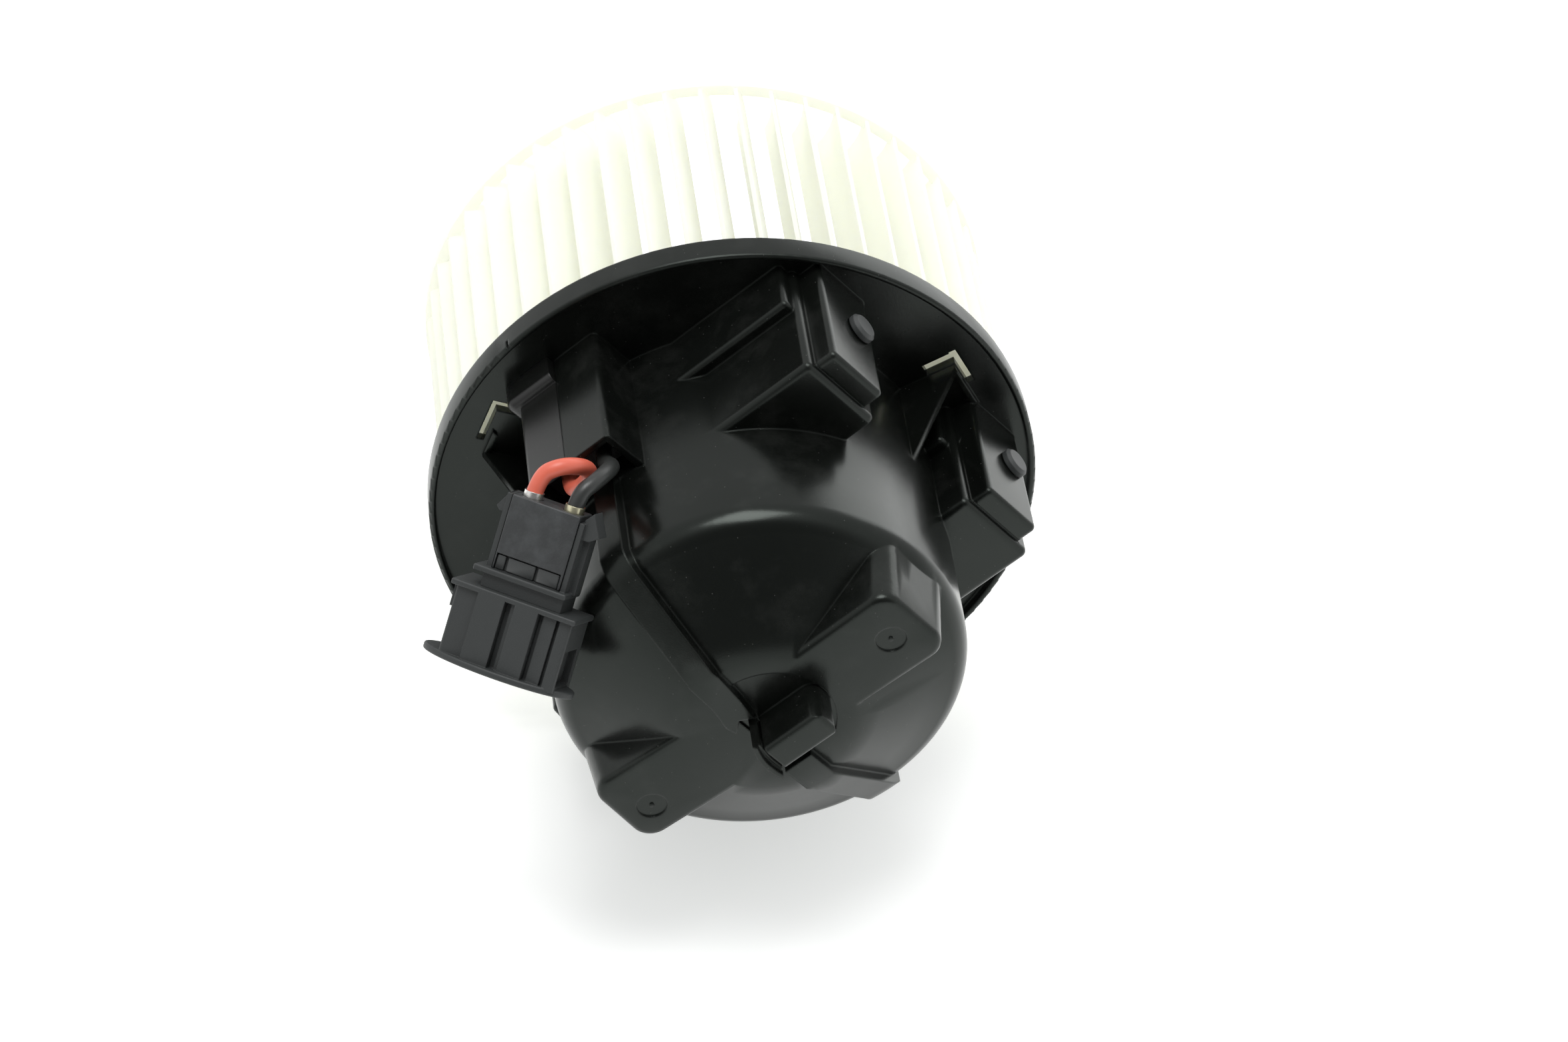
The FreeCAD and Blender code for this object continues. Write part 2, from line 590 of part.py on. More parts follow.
# connector axes: w across its face, n out of its face, a from the wire end to the mating end
PLUG_AT = V(-50.84, -67.58, 53.33)
PLUG_W = V(0.8669, -0.4910, -0.0860)
PLUG_A = V(-0.3402, -0.4571, -0.8218)
PLUG_N = PLUG_A.cross(PLUG_W)


def plug_place(shape):
    m = FreeCAD.Matrix(PLUG_W.x, PLUG_N.x, PLUG_A.x, PLUG_AT.x, PLUG_W.y, PLUG_N.y, PLUG_A.y, PLUG_AT.y,
                       PLUG_W.z, PLUG_N.z, PLUG_A.z, PLUG_AT.z, 0, 0, 0, 1)
    copy = shape.copy()
    copy.Placement = FreeCAD.Placement(m)
    return copy


TERMINAL_WS = (-5.6, 5.3)
TERMINAL_N = -4.0


def build_terminal(w):
    """Crimped blade terminal: a barrel round the wire's end and a flat blade into the socket."""
    barrel = Part.makeCylinder(WIRE_R + 0.35, 7.5, V(w, TERMINAL_N, -1.6), V(0, 0, 1))
    barrel = barrel.cut(Part.makeCylinder(WIRE_R, 2.4, V(w, TERMINAL_N, -1.7), V(0, 0, 1)))
    flat = block((w - 1.9, w + 1.9), (TERMINAL_N - 0.4, TERMINAL_N + 0.4), (5.9, 39.0))
    return plug_place(barrel.fuse(flat))


INSERT_W = (-9.5, 8.4)
LOCK_TABS = ((-8.9, -6.7), (-6.0, 1.2), (1.9, 7.6))
LOCK_A = (15.2, 18.8)


def build_insert():
    """Flat body that holds the terminals, with a wide window at its lower edge."""
    body = block(INSERT_W, (-9.4, 0), (0, 19.0), 0.4)
    for w in TERMINAL_WS:
        body = body.cut(Part.makeCylinder(WIRE_R + 0.55, 7.0, V(w, TERMINAL_N, -1), V(0, 0, 1)))
        body = body.cut(block((w - 2.1, w + 2.1), (TERMINAL_N - 0.6, TERMINAL_N + 0.6), (4, 20)))
    window = block((INSERT_W[0] + 0.4, INSERT_W[1] - 0.5), (-2.2, 1), (LOCK_A[0] - 0.3, LOCK_A[1] + 0.1))
    return plug_place(body.cut(window))


def build_lock():
    """Secondary lock: a strip with three tabs that show in the insert's window."""
    strip = block((LOCK_TABS[0][0], LOCK_TABS[-1][1]), (-2.1, -1.4), LOCK_A)
    return plug_place(joined([strip] + [block(span, (-2.0, -0.4), LOCK_A, 0.3) for span in LOCK_TABS]))


def build_carrier_plug():
    """Rails with their barbs either side of the insert, the collar and the neck."""
    pieces = [block((-11.0, INSERT_W[0] - 0.2), (-8.0, -0.6), (0.2, 19.4)),
              block((INSERT_W[1] + 0.2, 9.9), (-8.0, -0.6), (1.5, 19.4)),
              block((9.8, 11.6), (-8.0, -3.5), (5.2, 19.4))]
    left = [(-10.6, 0.0), (-13.0, 4.1), (-12.0, 5.1), (-10.6, 5.0)]
    right = [(9.4, 0.6), (11.2, -1.6), (14.0, 3.8), (11.6, 5.4), (9.4, 5.4)]
    for outline, low, high in ((left, -7.0, -1.0), (right, -7.5, -1.6)):
        wire = Part.makePolygon([V(w, low, a) for w, a in outline + outline[:1]])
        pieces.append(Part.Face(wire).extrude(V(0, high - low, 0)))
    pieces.append(block((-13.6, 10.9), (-10.4, 1.4), (19.0, 20.5), 0.4))
    pieces.append(block((-11.0, 10.4), (-9.4, 0.0), (20.4, 24.0)))
    hollow = [block((w - 2.1, w + 2.1), (TERMINAL_N - 0.6, TERMINAL_N + 0.6), (18, 26)) for w in TERMINAL_WS]
    return plug_place(joined(pieces).cut(joined(hollow)))


def build_plug_housing():
    """Ribbed shell with a lip at the top, an oval plate at its mating end and the socket inside."""
    lip = block((-17.6, 15.4), (-12.4, 2.4), (24.0, 25.4), 0.4)
    body = block((-16.2, 14.6), (-11.8, 1.2), (25.0, 43.0), 0.6, only="z")
    left_pad = block((-16.9, -15.0), (-11.0, 0.4), (25.0, 31.0))
    ribs = [block((-10.1, -3.0), (0, 2.4), (25.0, 43.0)), block((-0.3, 5.9), (0, 2.4), (25.0, 43.0))]
    oval = Part.Ellipse(V(-1.9, -5.0, 42.3), 20.0, 9.0).toShape()
    plate = Part.Face(Part.Wire(oval)).extrude(V(0, 0, 1.7))
    plate = plate.makeFillet(0.5, [e for e in plate.Edges if e.Closed])
    grooves = [block(span, (-0.3, 3), (25.4, 42.3)) for span in ((-3.0, -1.5), (5.9, 7.1), (10.5, 11.4))]
    side_cut = block((12.6, 16), (-9, 0.4), (32.5, 41.5))
    socket = block((-13.4, 11.4), (-10.2, -0.9), (29.0, 45.0), 1.2, only="z")
    hollow = [block((w - 2.1, w + 2.1), (TERMINAL_N - 0.6, TERMINAL_N + 0.6), (20, 30)) for w in TERMINAL_WS]
    return plug_place(joined([lip, body, left_pad, plate] + ribs).cut(joined(grooves + [side_cut, socket] + hollow)))


def plug_point(w, n, a):
    return tuple(PLUG_AT + PLUG_W * w + PLUG_N * n + PLUG_A * a)


RED_ROUTE = [plug_point(TERMINAL_WS[0], TERMINAL_N, 0.7), plug_point(TERMINAL_WS[0], TERMINAL_N, -5.6),
             (-47.5, -59.3, 58.6), (-42.4, -57.0, 56.4), (-39.6, -52.6, 51.0), (-40.2, -49.3, 44.6),
             (-43.3, -46.6, 39.9), bar_point(LEAD_US[0], -42.2, LEAD_V_OUT),
             bar_point(LEAD_US[0], GROMMET[0], LEAD_V_OUT)]
BLACK_ROUTE = [plug_point(TERMINAL_WS[1], TERMINAL_N, 0.7), plug_point(TERMINAL_WS[1], TERMINAL_N, -4.6),
               (-39.2, -62.4, 55.4), (-35.5, -57.0, 54.2), (-34.0, -50.6, 50.2),
               bar_point(LEAD_US[1], -43.8, LEAD_V_OUT), bar_point(LEAD_US[1], GROMMET[0], LEAD_V_OUT)]


# ---- small fastenings ---------------------------------------------------------------------------
def build_inner_cover():
    """Cover on the flange's wheel side that closes the motor cup and the lugs."""
    y0, y1 = PLATE_FRONT, -0.6
    pads = [disc(55, y0, y1), bar_block((-16, 8.3), (y0, y1), (30, 64))]
    pads += [turned(block((20, LUG_END), (y0, y1), (v - 9.8, v + 19.5)), turn) for v, turn in LUGS]
    cover = joined(pads).common(disc(RIM_R - RIM_WALL - 0.5, -5, 5)).cut(disc(16, -5, 5))
    return cover.cut(joined([turned(rod((0, -5, SCREW_R), (0, 5, SCREW_R), 1.8), a) for a in SCREW_CLOCKS]))


def screw(y_head, length, shank_r, head_r, at, clock):
    """Pan-head screw pointing to -Y with a cross recess."""
    shank = rod((0, y_head - length, at), (0, y_head, at), shank_r)
    head = rod((0, y_head, at), (0, y_head + 1.3, at), head_r)
    head = head.makeChamfer(0.4, [e for e in head.Edges if abs(e.CenterOfMass.y - y_head - 1.3) < 1e-6])
    cross = block((-1.5, 1.5), (y_head + 0.6, y_head + 2), (at - 0.35, at + 0.35))
    cross = cross.fuse(block((-0.35, 0.35), (y_head + 0.6, y_head + 2), (at - 1.5, at + 1.5)))
    return turned(shank.fuse(head).cut(cross), clock)


def build_cover_screws():
    return Part.makeCompound([screw(-0.6, 10.0, 1.5, 3.2, SCREW_R, a) for a in SCREW_CLOCKS])


def build_plate_screws():
    """Screws that hold the brush card to the end plate."""
    return Part.makeCompound([screw(-9.5, 7.5, 1.6, 2.8, 33, a) for a in PLATE_SCREW_CLOCKS])


def build_retainers():
    """Spring washers that clamp the bearings in their seats."""
    rear = ring(7.0, 14.0, CAN_REAR + CAN_WALL, CAN_REAR + CAN_WALL + 0.6)
    front = ring(6.0, BEARING_R, CAN_FRONT + 0.1, FRONT_BEARING[0])
    return Part.makeCompound([rear, front])


def build_felts():
    """Oil felts round the bearings' rear faces."""
    return ring(5.0, BEARING_R, REAR_BEARING[1], REAR_BEARING[1] + 2.6)


def build_thrust_washers():
    return Part.makeCompound([ring(SHAFT_R, 6.4, -69.2, -68.4), ring(SHAFT_R, 5.6, -14.4, -13.6)])


def build_insulators():
    return Part.makeCompound([lamination(CORE_REAR - 1, CORE_REAR), lamination(CORE_FRONT, CORE_FRONT + 1)])


NODES = {
    "motor_housing": build_housing,
    "wire_exit_cover": build_exit_cover,
    "inner_cover": build_inner_cover,
    "cover_screws": build_cover_screws,
    "locating_pins": build_pins,
    "rubber_dampers": build_dampers,
    "motor_carrier": build_carrier,
    "motor_can": build_can,
    "motor_end_plate": build_end_plate,
    "field_magnets": build_magnets,
    "front_bearing": lambda: build_bearings(FRONT_BEARING),
    "rear_bearing": lambda: build_bearings(REAR_BEARING),
    "bearing_retainers": build_retainers,
    "oil_felt": build_felts,
    "brush_card": build_card,
    "end_plate_screws": build_plate_screws,
    "brush_holders": build_holders,
    "upper_brush": build_brush,
    "lower_brush": lambda: turned(build_brush(), 180),
    "upper_brush_spring": build_spring,
    "lower_brush_spring": lambda: turned(build_spring(), 180),
    "chokes": build_chokes,
    "capacitor": build_capacitor,
    "motor_shaft": build_shaft,
    "thrust_washers": build_thrust_washers,
    "armature_core": lambda: lamination(CORE_REAR, CORE_FRONT),
    "armature_insulators": build_insulators,
    "armature_windings": build_windings,
    "commutator": build_commutator,
    "blower_wheel": build_wheel,
    "hub_clip": lambda: ring(SHAFT_R, 7.6, 34.0, 34.8),
    "balance_clips": build_balance_clips,
    "wire_grommet": build_grommet,
    "red_inner_lead": lambda: inner_lead(LEAD_US[0]),
    "black_inner_lead": lambda: inner_lead(LEAD_US[1]),
    "red_wire": lambda: tube(RED_ROUTE, WIRE_R, "red wire"),
    "black_wire": lambda: tube(BLACK_ROUTE, WIRE_R, "black wire"),
    "red_terminal": lambda: build_terminal(TERMINAL_WS[0]),
    "black_terminal": lambda: build_terminal(TERMINAL_WS[1]),
    "plug_insert": build_insert,
    "plug_lock": build_lock,
    "plug_carrier": build_carrier_plug,
    "plug_housing": build_plug_housing,
}

if __name__ == "__main__":
    for node, build in NODES.items():
        save(node, build())
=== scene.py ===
"""Heater blower: looks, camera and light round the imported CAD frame. Metres, in the row frame."""
import bpy
import json
import math
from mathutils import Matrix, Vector


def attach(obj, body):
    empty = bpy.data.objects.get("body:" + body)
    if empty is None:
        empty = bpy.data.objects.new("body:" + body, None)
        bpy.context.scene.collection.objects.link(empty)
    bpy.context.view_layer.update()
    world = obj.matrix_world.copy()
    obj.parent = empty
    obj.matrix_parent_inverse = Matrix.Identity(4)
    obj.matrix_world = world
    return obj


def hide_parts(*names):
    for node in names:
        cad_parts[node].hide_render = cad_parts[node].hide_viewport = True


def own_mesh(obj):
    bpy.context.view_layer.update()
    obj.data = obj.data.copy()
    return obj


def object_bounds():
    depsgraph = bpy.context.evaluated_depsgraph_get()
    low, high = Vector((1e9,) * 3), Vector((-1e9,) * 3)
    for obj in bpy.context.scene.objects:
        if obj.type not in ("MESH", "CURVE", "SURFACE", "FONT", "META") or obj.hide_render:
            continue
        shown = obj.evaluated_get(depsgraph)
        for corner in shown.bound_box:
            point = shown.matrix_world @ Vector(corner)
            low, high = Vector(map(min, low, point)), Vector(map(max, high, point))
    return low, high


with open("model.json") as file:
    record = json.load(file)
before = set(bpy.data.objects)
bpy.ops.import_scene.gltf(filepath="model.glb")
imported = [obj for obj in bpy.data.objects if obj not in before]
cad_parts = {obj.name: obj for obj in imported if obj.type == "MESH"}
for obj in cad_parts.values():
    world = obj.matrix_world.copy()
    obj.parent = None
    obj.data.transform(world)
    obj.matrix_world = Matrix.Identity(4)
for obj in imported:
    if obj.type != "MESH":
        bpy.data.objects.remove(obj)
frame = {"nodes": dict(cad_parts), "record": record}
cad_low, cad_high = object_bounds()
nodes = frame["nodes"]
MM = 0.001

# ---- camera -------------------------------------------------------------------------------------
CAMERA_AZIMUTH = math.radians(-6.355)
CAMERA_ELEVATION = math.radians(40.701)
CAMERA_DISTANCE = 1.30658
CAMERA_TARGET = Vector((12.81, -8.39, -8.04)) * MM
CAMERA_LENS = 115.93


def make_camera():
    """The camera, in front of the motor's closed end and above it."""
    data = bpy.data.cameras.new("camera")
    data.lens = CAMERA_LENS
    data.sensor_width = 36
    data.clip_start, data.clip_end = 0.05, 20
    camera = bpy.data.objects.new("camera", data)
    bpy.context.scene.collection.objects.link(camera)
    back = Vector((math.sin(CAMERA_AZIMUTH) * math.cos(CAMERA_ELEVATION),
                   -math.cos(CAMERA_AZIMUTH) * math.cos(CAMERA_ELEVATION), math.sin(CAMERA_ELEVATION)))
    camera.location = CAMERA_TARGET + back * CAMERA_DISTANCE
    camera.rotation_mode = "QUATERNION"
    camera.rotation_quaternion = (-back).to_track_quat("-Z", "Y")
    bpy.context.scene.camera = camera


# ---- materials ----------------------------------------------------------------------------------
EDGE = 0.35 * MM            # rounding of the moulded edges in the shading
DUST = (0.36, 0.37, 0.35)
HOUSING_GLOSS = 0.30        # specular level of the housing, under the usual 0.5
NYLON_GLOW = 0.52           # share of light that passes through the wheel's nylon


class Paint:
    """A node material with object coordinates, built up step by step."""

    def __init__(self, name, edge=0.0, **sockets):
        self.material = bpy.data.materials.new(name)
        self.material.use_nodes = True
        self.tree = self.material.node_tree
        self.shader = self.tree.nodes["Principled BSDF"]
        self.place = self.tree.nodes.new("ShaderNodeTexCoord").outputs["Object"]
        self.normal = None
        for socket, value in sockets.items():
            self.shader.inputs[socket.replace("_", " ")].default_value = value
        if edge:
            rounded = self.node("Bevel", samples=4)
            rounded.inputs["Radius"].default_value = edge
            self.normal = rounded.outputs["Normal"]
            self.link(self.normal, self.shader.inputs["Normal"])

    def node(self, kind, **settings):
        made = self.tree.nodes.new("ShaderNode" + kind)
        for key, value in settings.items():
            setattr(made, key, value)
        return made

    def link(self, out, socket):
        self.tree.links.new(out, socket)

    def noise(self, scale, detail=4.0, rough=0.55, stretch=(1, 1, 1)):
        mapping = self.node("Mapping")
        mapping.inputs["Scale"].default_value = stretch
        self.link(self.place, mapping.inputs["Vector"])
        tex = self.node("TexNoise")
        tex.inputs["Scale"].default_value = scale
        tex.inputs["Detail"].default_value = detail
        tex.inputs["Roughness"].default_value = rough
        self.link(mapping.outputs["Vector"], tex.inputs["Vector"])
        return tex.outputs["Fac"]

    def specks(self, scale, size):
        """White where a small cell's centre lies near: sparse dots."""
        tex = self.node("TexVoronoi")
        tex.inputs["Scale"].default_value = scale
        self.link(self.place, tex.inputs["Vector"])
        return self.ramp(tex.outputs["Distance"], [(0.0, 1.0), (size, 0.0)])

    def ramp(self, fac, stops):
        """Maps fac through grey or colour stops: (position, value)."""
        made = self.node("ValToRGB")
        elements = made.color_ramp.elements
        while len(elements) < len(stops):
            elements.new(0.5)
        for element, (at, value) in zip(elements, stops):
            element.position = at
            element.color = (value, value, value, 1) if isinstance(value, (int, float)) else (*value, 1)
        self.link(fac, made.inputs["Fac"])
        return made.outputs["Color"]

    def mix(self, fac, a, b, blend="MIX"):
        made = self.node("Mix", data_type="RGBA", blend_type=blend)
        for source, socket in ((fac, made.inputs[0]), (a, made.inputs[6]), (b, made.inputs[7])):
            if isinstance(source, (int, float)):
                socket.default_value = source
            elif isinstance(source, tuple):
                socket.default_value = (*source, 1)
            else:
                self.link(source, socket)
        return made.outputs[2]

    def multiply(self, a, b):
        made = self.node("Math", operation="MULTIPLY")
        self.link(a, made.inputs[0])
        if isinstance(b, (int, float)):
            made.inputs[1].default_value = b
        else:
            self.link(b, made.inputs[1])
        return made.outputs[0]

    def color(self, out):
        self.link(out, self.shader.inputs["Base Color"])

    def roughness(self, fac, low, high):
        self.link(self.ramp(fac, [(0.25, low), (0.75, high)]), self.shader.inputs["Roughness"])

    def bump(self, height, strength, distance):
        made = self.node("Bump")
        made.inputs["Strength"].default_value = strength
        made.inputs["Distance"].default_value = distance
        self.link(height, made.inputs["Height"])
        if self.normal:
            self.link(self.normal, made.inputs["Normal"])
        self.normal = made.outputs["Normal"]
        self.link(self.normal, self.shader.inputs["Normal"])


def shade(color, factor):
    return tuple(min(1.0, c * factor) for c in color)


def moulded(name, color, low, high, grain=0.06, dust=0.0, spread=0.35, edge=0.0):
    """Moulded plastic: cloudy colour, flow marks, fine grain and, if wanted, settled dust."""
    paint = Paint(name, edge)
    cloud = paint.noise(38, 5)
    flow = paint.noise(14, 3, stretch=(1, 0.25, 1))
    base = paint.mix(cloud, shade(color, 1 - spread), shade(color, 1 + spread))
    if dust:
        film = paint.ramp(paint.noise(55, 8, 0.7), [(0.50, 0.0), (0.72, dust)])
        base = paint.mix(film, base, DUST)
        dots = paint.multiply(paint.specks(420, 0.07), 0.25)
        base = paint.mix(dots, base, DUST)
    paint.color(base)
    paint.roughness(paint.mix(0.5, cloud, flow), low, high)
    paint.bump(paint.noise(2600, 2), grain, 0.0002)
    paint.bump(paint.noise(120, 3), 0.05, 0.0004)
    return paint.material


def housing_black(name):
    """The housing's glossy black, a little greener in its reflections than in its body."""
    material = moulded(name, (0.0034, 0.0040, 0.0035), 0.19, 0.27, dust=0.022, edge=EDGE * 2.0)
    shader = material.node_tree.nodes["Principled BSDF"]
    shader.inputs["Specular Tint"].default_value = (0.90, 1.0, 0.93, 1)
    shader.inputs["Specular IOR Level"].default_value = HOUSING_GLOSS
    return material


def scuffed(name, color):
    """The plug insert's worn face: dark grey with rubbed pale patches and fine scratches."""
    paint = Paint(name, EDGE)
    patches = paint.ramp(paint.noise(170, 7, 0.65), [(0.42, 0.0), (0.66, 1.0)])
    lines = paint.ramp(paint.noise(420, 5, 0.7, stretch=(1, 6, 1)), [(0.55, 0.0), (0.70, 0.6)])
    base = paint.mix(patches, color, shade(color, 1.7))
    base = paint.mix(paint.multiply(lines, 0.3), base, shade(color, 2.4))
    paint.color(base)
    paint.roughness(paint.noise(300, 5), 0.42, 0.62)
    paint.bump(paint.noise(1900, 4), 0.22, 0.0003)
    return paint.material


def metal(name, color, low, high, brushed=(1, 1, 1), tarnish=0.25):
    """Bare metal: cloudy tarnish and, where brushed, fine lines."""
    paint = Paint(name, EDGE / 2, Metallic=1.0)
    cloud = paint.noise(90, 5)
    paint.color(paint.mix(cloud, shade(color, 1 - tarnish), shade(color, 1 + tarnish * 0.4)))
    paint.roughness(paint.noise(260, 4, stretch=brushed), low, high)
    paint.bump(paint.noise(1500, 3, stretch=brushed), 0.12, 0.0002)
    return paint.material


def insulation(name, color, spread=0.12):
    """Extruded wire insulation: satin, with a faint cloudy variation in colour."""
    paint = Paint(name)
    paint.color(paint.mix(paint.noise(160, 4), shade(color, 1 - spread), shade(color, 1 + spread)))
    paint.roughness(paint.noise(220, 4), 0.30, 0.46)
    paint.bump(paint.noise(1400, 3), 0.08, 0.0002)
    return paint.material


def cream_nylon(name, color):
    """The wheel: natural nylon, a little translucent, darker in random patches."""
    paint = Paint(name, EDGE / 2, Subsurface_Weight=0.45, Subsurface_Scale=0.006)
    paint.shader.inputs["Subsurface Radius"].default_value = (1.0, 0.9, 0.55)
    base = paint.mix(paint.noise(30, 4), shade(color, 0.97), shade(color, 1.02))
    # darker in random patches of noise, not tied to the wheel's thickness
    dark_patches = paint.ramp(paint.noise(70, 7, 0.7), [(0.60, 0.0), (0.8, 0.18)])
    base = paint.mix(dark_patches, base, shade(color, 0.84))
    paint.color(base)
    paint.roughness(paint.noise(60, 4), 0.38, 0.52)
    paint.bump(paint.noise(1800, 3), 0.07, 0.0002)
    glow = paint.node("BsdfTranslucent")
    paint.link(base, glow.inputs["Color"])
    both = paint.node("MixShader")
    both.inputs[0].default_value = NYLON_GLOW
    paint.link(paint.shader.outputs[0], both.inputs[1])
    paint.link(glow.outputs[0], both.inputs[2])
    paint.link(both.outputs[0], paint.tree.nodes["Material Output"].inputs["Surface"])
    return paint.material


def make_materials():
    """A material for each of the record's slots."""
    return {
        "housing_plastic": housing_black("housing_plastic"),
        "cover_plastic": moulded("cover_plastic", (0.0048, 0.0053, 0.0048), 0.24, 0.33, dust=0.02,
                                 edge=EDGE * 1.6),
        "wheel_plastic": cream_nylon("wheel_plastic", (0.965, 0.97, 0.915)),
        "plug_plastic": moulded("plug_plastic", (0.026, 0.029, 0.029), 0.50, 0.62, grain=0.25, spread=0.18,
                                edge=EDGE),
        "plug_insert_plastic": scuffed("plug_insert_plastic", (0.024, 0.026, 0.027)),
        "lock_plastic": moulded("lock_plastic", (0.040, 0.043, 0.043), 0.40, 0.52, spread=0.3, edge=EDGE),
        "red_insulation": insulation("red_insulation", (0.62, 0.125, 0.078)),
        "black_insulation": insulation("black_insulation", (0.020, 0.022, 0.021), 0.3),
        "tinned_metal": metal("tinned_metal", (0.82, 0.81, 0.78), 0.20, 0.34),
        "tinned_brass": metal("tinned_brass", (0.78, 0.74, 0.52), 0.22, 0.36),
        "rubber_black": moulded("rubber_black", (0.012, 0.012, 0.012), 0.55, 0.70, grain=0.2),
        "zinc_steel": metal("zinc_steel", (0.62, 0.64, 0.62), 0.28, 0.45),
        "bearing_bronze": metal("bearing_bronze", (0.55, 0.38, 0.20), 0.45, 0.60),
        "ground_steel": metal("ground_steel", (0.72, 0.72, 0.74), 0.16, 0.28, (1, 12, 1), 0.1),
        "core_steel": metal("core_steel", (0.40, 0.40, 0.42), 0.40, 0.55, (1, 30, 1)),
        "ferrite": moulded("ferrite", (0.055, 0.055, 0.060), 0.55, 0.70, grain=0.3),
        "copper": metal("copper", (0.80, 0.38, 0.20), 0.26, 0.42, (1, 1, 6)),
        "card_laminate": moulded("card_laminate", (0.32, 0.19, 0.09), 0.42, 0.55, grain=0.15),
        "carbon": moulded("carbon", (0.040, 0.040, 0.043), 0.45, 0.60, grain=0.3),
        "felt": moulded("felt", (0.50, 0.45, 0.35), 0.85, 0.95, grain=0.6),
        "insulator_fibre": moulded("insulator_fibre", (0.12, 0.30, 0.20), 0.55, 0.70),
        "spring_steel": metal("spring_steel", (0.66, 0.67, 0.70), 0.18, 0.32, tarnish=0.15),
        "capacitor_case": moulded("capacitor_case", (0.05, 0.14, 0.38), 0.25, 0.35),
    }


SHARP_ANGLE = math.radians(32)
WELD_DISTANCE = 1e-6


def smooth(piece):
    """Smooths the curved faces and keeps the corners sharp."""
    piece.data.shade_smooth()
    weld = piece.modifiers.new("weld", "WELD")
    weld.merge_threshold = WELD_DISTANCE
    split = piece.modifiers.new("split", "EDGE_SPLIT")
    split.split_angle = SHARP_ANGLE
    split.use_edge_sharp = False


def dress_nodes(materials):
    """Gives every CAD node its material."""
    for part in frame["record"]["subparts"]:
        piece = nodes[part["node"]]
        piece.data.materials.clear()
        piece.data.materials.append(materials[part["material_slot"]])
        smooth(piece)


def make_spring(side):
    """The spring behind a brush: a copy of its CAD node, attached to the root body in the node's place."""
    node = nodes[side + "_brush_spring"]
    spring = bpy.data.objects.new(side + "_coil", node.data.copy())
    bpy.context.scene.collection.objects.link(spring)
    spring.matrix_world = node.matrix_world.copy()
    smooth(spring)
    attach(spring, "root")
    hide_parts(node.name)
    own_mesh(spring)


# ---- wires --------------------------------------------------------------------------------------
WIRE_DIAMETER = 4.2 * MM
RED_ROUTE = [(-54.48, -62.18, 50.98), (-52.33, -59.3, 56.16), (-47.5, -59.3, 58.6), (-42.4, -57.0, 56.4),
             (-39.6, -52.6, 51.0), (-40.2, -49.3, 44.6), (-43.3, -46.6, 39.9), (-43.92, -42.2, 38.34),
             (-43.92, -38.0, 38.34)]
BLACK_ROUTE = [(-45.03, -67.54, 50.05), (-43.22, -65.11, 54.4), (-39.2, -62.4, 55.4), (-35.5, -57.0, 54.2),
               (-34.0, -50.6, 50.2), (-35.49, -43.8, 45.41), (-35.49, -38.0, 45.41)]


def make_wire(name, node, route, material):
    """A lead along its route, given in millimetres from the plug to the housing."""
    curve = bpy.data.curves.new(name, "CURVE")
    curve.dimensions = "3D"
    curve.bevel_depth = WIRE_DIAMETER / 2
    curve.bevel_resolution = 8
    curve.use_fill_caps = True
    spline = curve.splines.new("NURBS")
    spline.points.add(len(route) - 1)
    for point, at in zip(spline.points, route):
        point.co = (*(Vector(at) * MM), 1)
    spline.order_u = 3
    spline.use_endpoint_u = True
    spline.resolution_u = 16
    wire = bpy.data.objects.new(name, curve)
    bpy.context.scene.collection.objects.link(wire)
    curve.materials.append(material)
    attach(wire, "root")
    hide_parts(node)
    return wire


# ---- stage and light ----------------------------------------------------------------------------
FLOOR_DROP = 0.4 * MM
FLOOR_HALF = 6.0


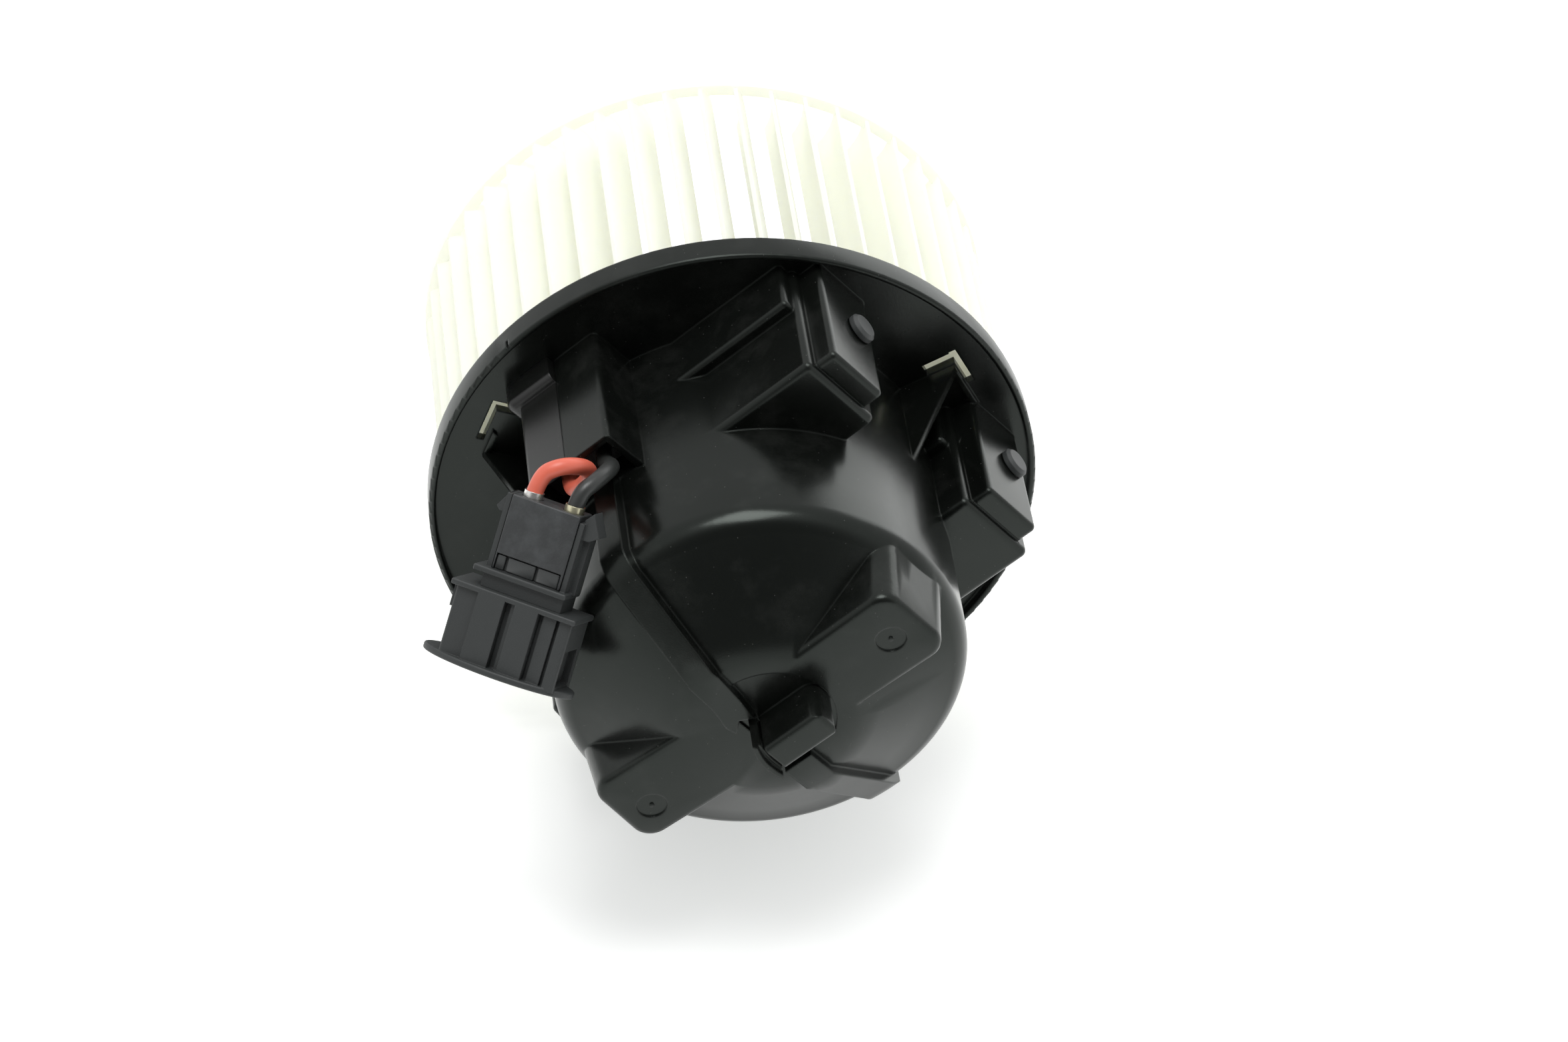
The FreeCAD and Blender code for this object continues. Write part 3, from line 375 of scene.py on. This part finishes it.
def make_stage():
    """A pale floor just under the object."""
    low = cad_low.z - FLOOR_DROP
    corners = [(x * FLOOR_HALF, y * FLOOR_HALF, low) for x, y in ((-1, -1), (1, -1), (1, 1), (-1, 1))]
    mesh = bpy.data.meshes.new("floor")
    mesh.from_pydata(corners, [], [(0, 1, 2, 3)])
    floor = bpy.data.objects.new("floor", mesh)
    bpy.context.scene.collection.objects.link(floor)
    paint = Paint("floor_white", Roughness=0.45, Emission_Strength=0.48)
    paint.shader.inputs["Emission Color"].default_value = (0.98, 1.0, 0.985, 1)
    paint.color(paint.mix(paint.noise(1.5, 2), (0.78, 0.79, 0.785), (0.80, 0.80, 0.795)))
    mesh.materials.append(paint.material)


def area_light(name, at, aim, size, power):
    """A square lamp at a place, turned towards a point."""
    data = bpy.data.lights.new(name, "AREA")
    data.energy = power
    data.size = size
    lamp = bpy.data.objects.new(name, data)
    bpy.context.scene.collection.objects.link(lamp)
    lamp.location = at
    lamp.rotation_mode = "QUATERNION"
    lamp.rotation_quaternion = (Vector(aim) - Vector(at)).to_track_quat("-Z", "Y")


DARK_SIDE = (-0.05, -0.90, 0.42)    # where the dim side of the room lies, seen from the object


def make_world():
    """White all round, with a dim patch in front of the object."""
    world = bpy.data.worlds.new("studio")
    bpy.context.scene.world = world
    world.use_nodes = True
    tree = world.node_tree
    place = tree.nodes.new("ShaderNodeTexCoord")
    facing = tree.nodes.new("ShaderNodeVectorMath")
    facing.operation = "DOT_PRODUCT"
    facing.inputs[1].default_value = DARK_SIDE
    fade = tree.nodes.new("ShaderNodeMapRange")
    fade.interpolation_type = "SMOOTHSTEP"
    for socket, value in (("From Min", 0.50), ("From Max", 0.93), ("To Min", 0.95), ("To Max", 0.20)):
        fade.inputs[socket].default_value = value
    tree.links.new(place.outputs["Generated"], facing.inputs[0])
    tree.links.new(facing.outputs["Value"], fade.inputs["Value"])
    tree.links.new(fade.outputs["Result"], tree.nodes["Background"].inputs["Strength"])
    tree.nodes["Background"].inputs["Color"].default_value = (1, 1, 1, 1)


def make_lights():
    """A soft lamp overhead and a wide one behind, to the right."""
    area_light("overhead", (-0.05, -0.10, 1.3), (0, -0.04, 0), 0.7, 11)
    area_light("back_right", (0.95, 1.15, 0.42), (0.03, -0.04, 0), 1.0, 7)
    bpy.context.scene.view_settings.view_transform = "Standard"


make_camera()
materials = make_materials()
dress_nodes(materials)
make_spring("upper")
make_spring("lower")
red = make_wire("red_lead", "red_wire", RED_ROUTE, materials["red_insulation"])
black = make_wire("black_lead", "black_wire", BLACK_ROUTE, materials["black_insulation"])
make_stage()
make_world()
make_lights()
